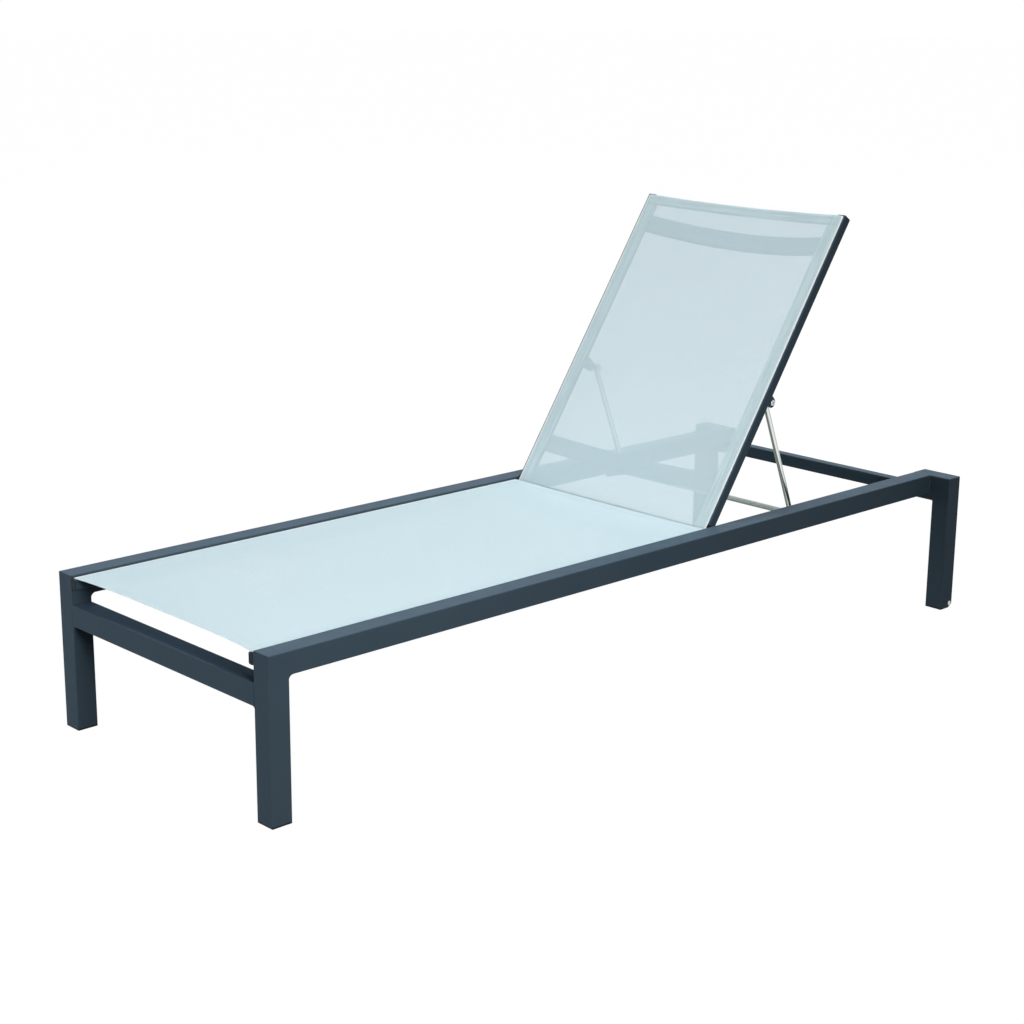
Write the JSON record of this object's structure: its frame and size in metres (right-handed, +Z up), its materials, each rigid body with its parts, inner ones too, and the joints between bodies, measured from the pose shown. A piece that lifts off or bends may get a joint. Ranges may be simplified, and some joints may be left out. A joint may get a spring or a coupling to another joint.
{
  "type": "sun lounger",
  "caption": "Flat-framed sun lounger with a stretched mesh seat, a reclining mesh backrest propped by a swinging bail in notched racks, and small rollers in its head legs.",
  "frame": {"origin": "on the ground, under the middle of the frame's length and width", "axes": "+X towards the head end, +Y towards the lying person's right, +Z up"},
  "size_m": [2, 0.8048, 0.9616],
  "materials": {
    "frame_paint": "satin powder coat, dark slate blue",
    "plastic": "moulded, lightly textured, black",
    "roller": "moulded, smooth, dark grey",
    "spline": "extruded cord, pale grey",
    "sling": "coated mesh weave, pale blue grey",
    "stainless": "brushed stainless steel"
  },
  "bodies": {
    "frame": {"side_rail_left": "frame_paint", "side_rail_right": "frame_paint", "foot_leg_left": "frame_paint", "foot_leg_right": "frame_paint", "foot_crossbar": "frame_paint", "head_corner_left": "frame_paint", "head_corner_right": "frame_paint", "head_leg_left": "frame_paint", "head_leg_right": "frame_paint", "head_crossbar": "frame_paint", "corner_welds": "frame_paint", "foot_glide_left": "plastic", "foot_glide_right": "plastic", "head_glide_left": "plastic", "head_glide_right": "plastic", "roller_axle_left": "stainless", "roller_axle_right": "stainless", "seat_rail_left": "frame_paint", "seat_rail_right": "frame_paint", "seat_rail_caps": "plastic", "seat_splines": "spline", "seat_screws": "stainless", "seat_sling": "sling", "seat_bar": "frame_paint", "hinge_bolt_left": "stainless", "hinge_bolt_right": "stainless", "hinge_washer_left": "plastic", "hinge_washer_right": "plastic", "hinge_nut_left": "stainless", "hinge_nut_right": "stainless", "rack_left": "plastic", "rack_right": "plastic", "rack_screws": "stainless"},
    "backrest": {"back_rail_left": "frame_paint", "back_rail_right": "frame_paint", "back_hinge_plug_left": "plastic", "back_hinge_plug_right": "plastic", "back_cap_left": "plastic", "back_cap_right": "plastic", "back_splines": "spline", "back_sling": "sling", "back_lower_bar": "frame_paint", "back_upper_bar": "frame_paint", "bail_lug_left": "frame_paint", "bail_lug_right": "frame_paint", "bail_bolt_left": "stainless", "bail_bolt_right": "stainless", "bail_spacer_left": "stainless", "bail_spacer_right": "stainless"},
    "bail": {"bail_strut_left": "stainless", "bail_strut_right": "stainless", "bail_rod": "stainless", "rod_plugs": "plastic"},
    "left_roller": {"roller_left": "roller"},
    "right_roller": {"roller_right": "roller"}
  },
  "joints": [
    {"name": "backrest_recline", "type": "hinge", "parent": "frame", "child": "backrest", "pos_m": [0.2108, 0, 0.31], "axis": [0, 1, 0], "range_deg": [0, 56.1]},
    {"name": "bail_swing", "type": "hinge", "parent": "backrest", "child": "bail", "pos_m": [0.42668, 0, 0.56493], "axis": [0, 1, 0], "range_deg": [-127.1, 0]},
    {"name": "left_roller_spin", "type": "hinge", "parent": "frame", "child": "left_roller", "pos_m": [0.9874, -0.3775, 0.0115], "axis": [0, 1, 0], "continuous": true},
    {"name": "right_roller_spin", "type": "hinge", "parent": "frame", "child": "right_roller", "pos_m": [0.9874, 0.3775, 0.0115], "axis": [0, 1, 0], "continuous": true}
  ],
  "couplings": [
    {"joint": "bail_swing", "follows": "backrest_recline", "ratio": -2.2611}
  ]
}
